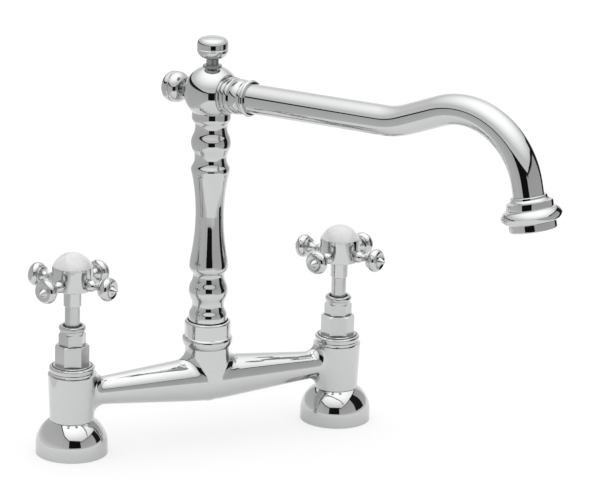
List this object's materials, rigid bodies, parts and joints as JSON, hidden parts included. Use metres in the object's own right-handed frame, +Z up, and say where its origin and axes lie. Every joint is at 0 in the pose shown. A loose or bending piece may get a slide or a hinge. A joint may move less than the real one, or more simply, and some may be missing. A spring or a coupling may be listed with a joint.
{
  "type": "bridge kitchen faucet",
  "caption": "Bridge kitchen faucet on bell-flanged pillars, with a turned column, a long curved swivel spout and cross-handled screw valves under porcelain domes.",
  "frame": {"origin": "on the worktop, midway between the two supply tails", "axes": "+X along the bridge to the right-hand tap, +Y to the back, away from the user, +Z up. The spout points to the front right at rest, 62 degrees from +X towards -Y."},
  "size_m": [0.2465, 0.2583, 0.3106],
  "materials": {
    "chrome": "polished plating",
    "brass": "machined",
    "steel": "turned",
    "rubber": "moulded",
    "fibre": "pressed fibre",
    "packing": "waxed cord ring",
    "bearing_plastic": "turned",
    "jet_plastic": "moulded",
    "porcelain": "glazed"
  },
  "bodies": {
    "base": {"bridge_body": "chrome", "swivel_bush": "bearing_plastic", "swivel_set_screw": "steel", "left_bell": "chrome", "left_tail": "brass", "left_deck_seal": "rubber", "left_clamp_washer": "steel", "left_back_nut": "brass", "left_bonnet": "chrome", "left_bonnet_washer": "fibre", "left_gland_nut": "chrome", "left_gland_packing": "packing", "right_bell": "chrome", "right_tail": "brass", "right_deck_seal": "rubber", "right_clamp_washer": "steel", "right_back_nut": "brass", "right_bonnet": "chrome", "right_bonnet_washer": "fibre", "right_gland_nut": "chrome", "right_gland_packing": "packing"},
    "left_valve": {"left_jumper": "brass", "left_tap_washer": "rubber", "left_washer_nut": "brass"},
    "left_cross": {"left_spindle": "chrome", "left_handle_hub": "chrome", "left_handle_arms": "chrome", "left_index_ring": "chrome", "left_index_dome": "porcelain", "left_handle_screw": "steel"},
    "right_valve": {"right_jumper": "brass", "right_tap_washer": "rubber", "right_washer_nut": "brass"},
    "right_cross": {"right_spindle": "chrome", "right_handle_hub": "chrome", "right_handle_arms": "chrome", "right_index_ring": "chrome", "right_index_dome": "porcelain", "right_handle_screw": "steel"},
    "spout": {"column": "chrome", "column_o_rings": "rubber", "ball": "chrome", "ball_seal": "rubber", "top_finial": "chrome", "top_finial_ring": "chrome", "rear_finial": "chrome", "rear_finial_ring": "chrome", "spout_seal": "rubber", "spout_collar": "chrome", "spout_ferrule": "chrome", "spout_tube": "chrome", "outlet_nozzle": "chrome", "aerator_washer": "rubber", "aerator_housing": "chrome", "aerator_screen": "steel", "aerator_insert": "jet_plastic"}
  },
  "joints": [
    {"name": "left_lift", "type": "slide", "parent": "base", "child": "left_valve", "axis": [0, 0, 1], "range_m": [0, 0.0048]},
    {"name": "left_turn", "type": "hinge", "parent": "left_valve", "child": "left_cross", "pos_m": [-0.09, 0, 0.06], "axis": [0, 0, 1], "range_deg": [0, 864]},
    {"name": "right_lift", "type": "slide", "parent": "base", "child": "right_valve", "axis": [0, 0, 1], "range_m": [0, 0.0048]},
    {"name": "right_turn", "type": "hinge", "parent": "right_valve", "child": "right_cross", "pos_m": [0.09, 0, 0.06], "axis": [0, 0, 1], "range_deg": [0, 864]},
    {"name": "spout_swivel", "type": "hinge", "parent": "base", "child": "spout", "pos_m": [0, 0, 0.0695], "axis": [0, 0, 1], "continuous": true}
  ],
  "couplings": [
    {"joint": "left_lift", "follows": "left_turn", "m_per_rad": 0.0003183},
    {"joint": "right_lift", "follows": "right_turn", "m_per_rad": 0.0003183}
  ]
}
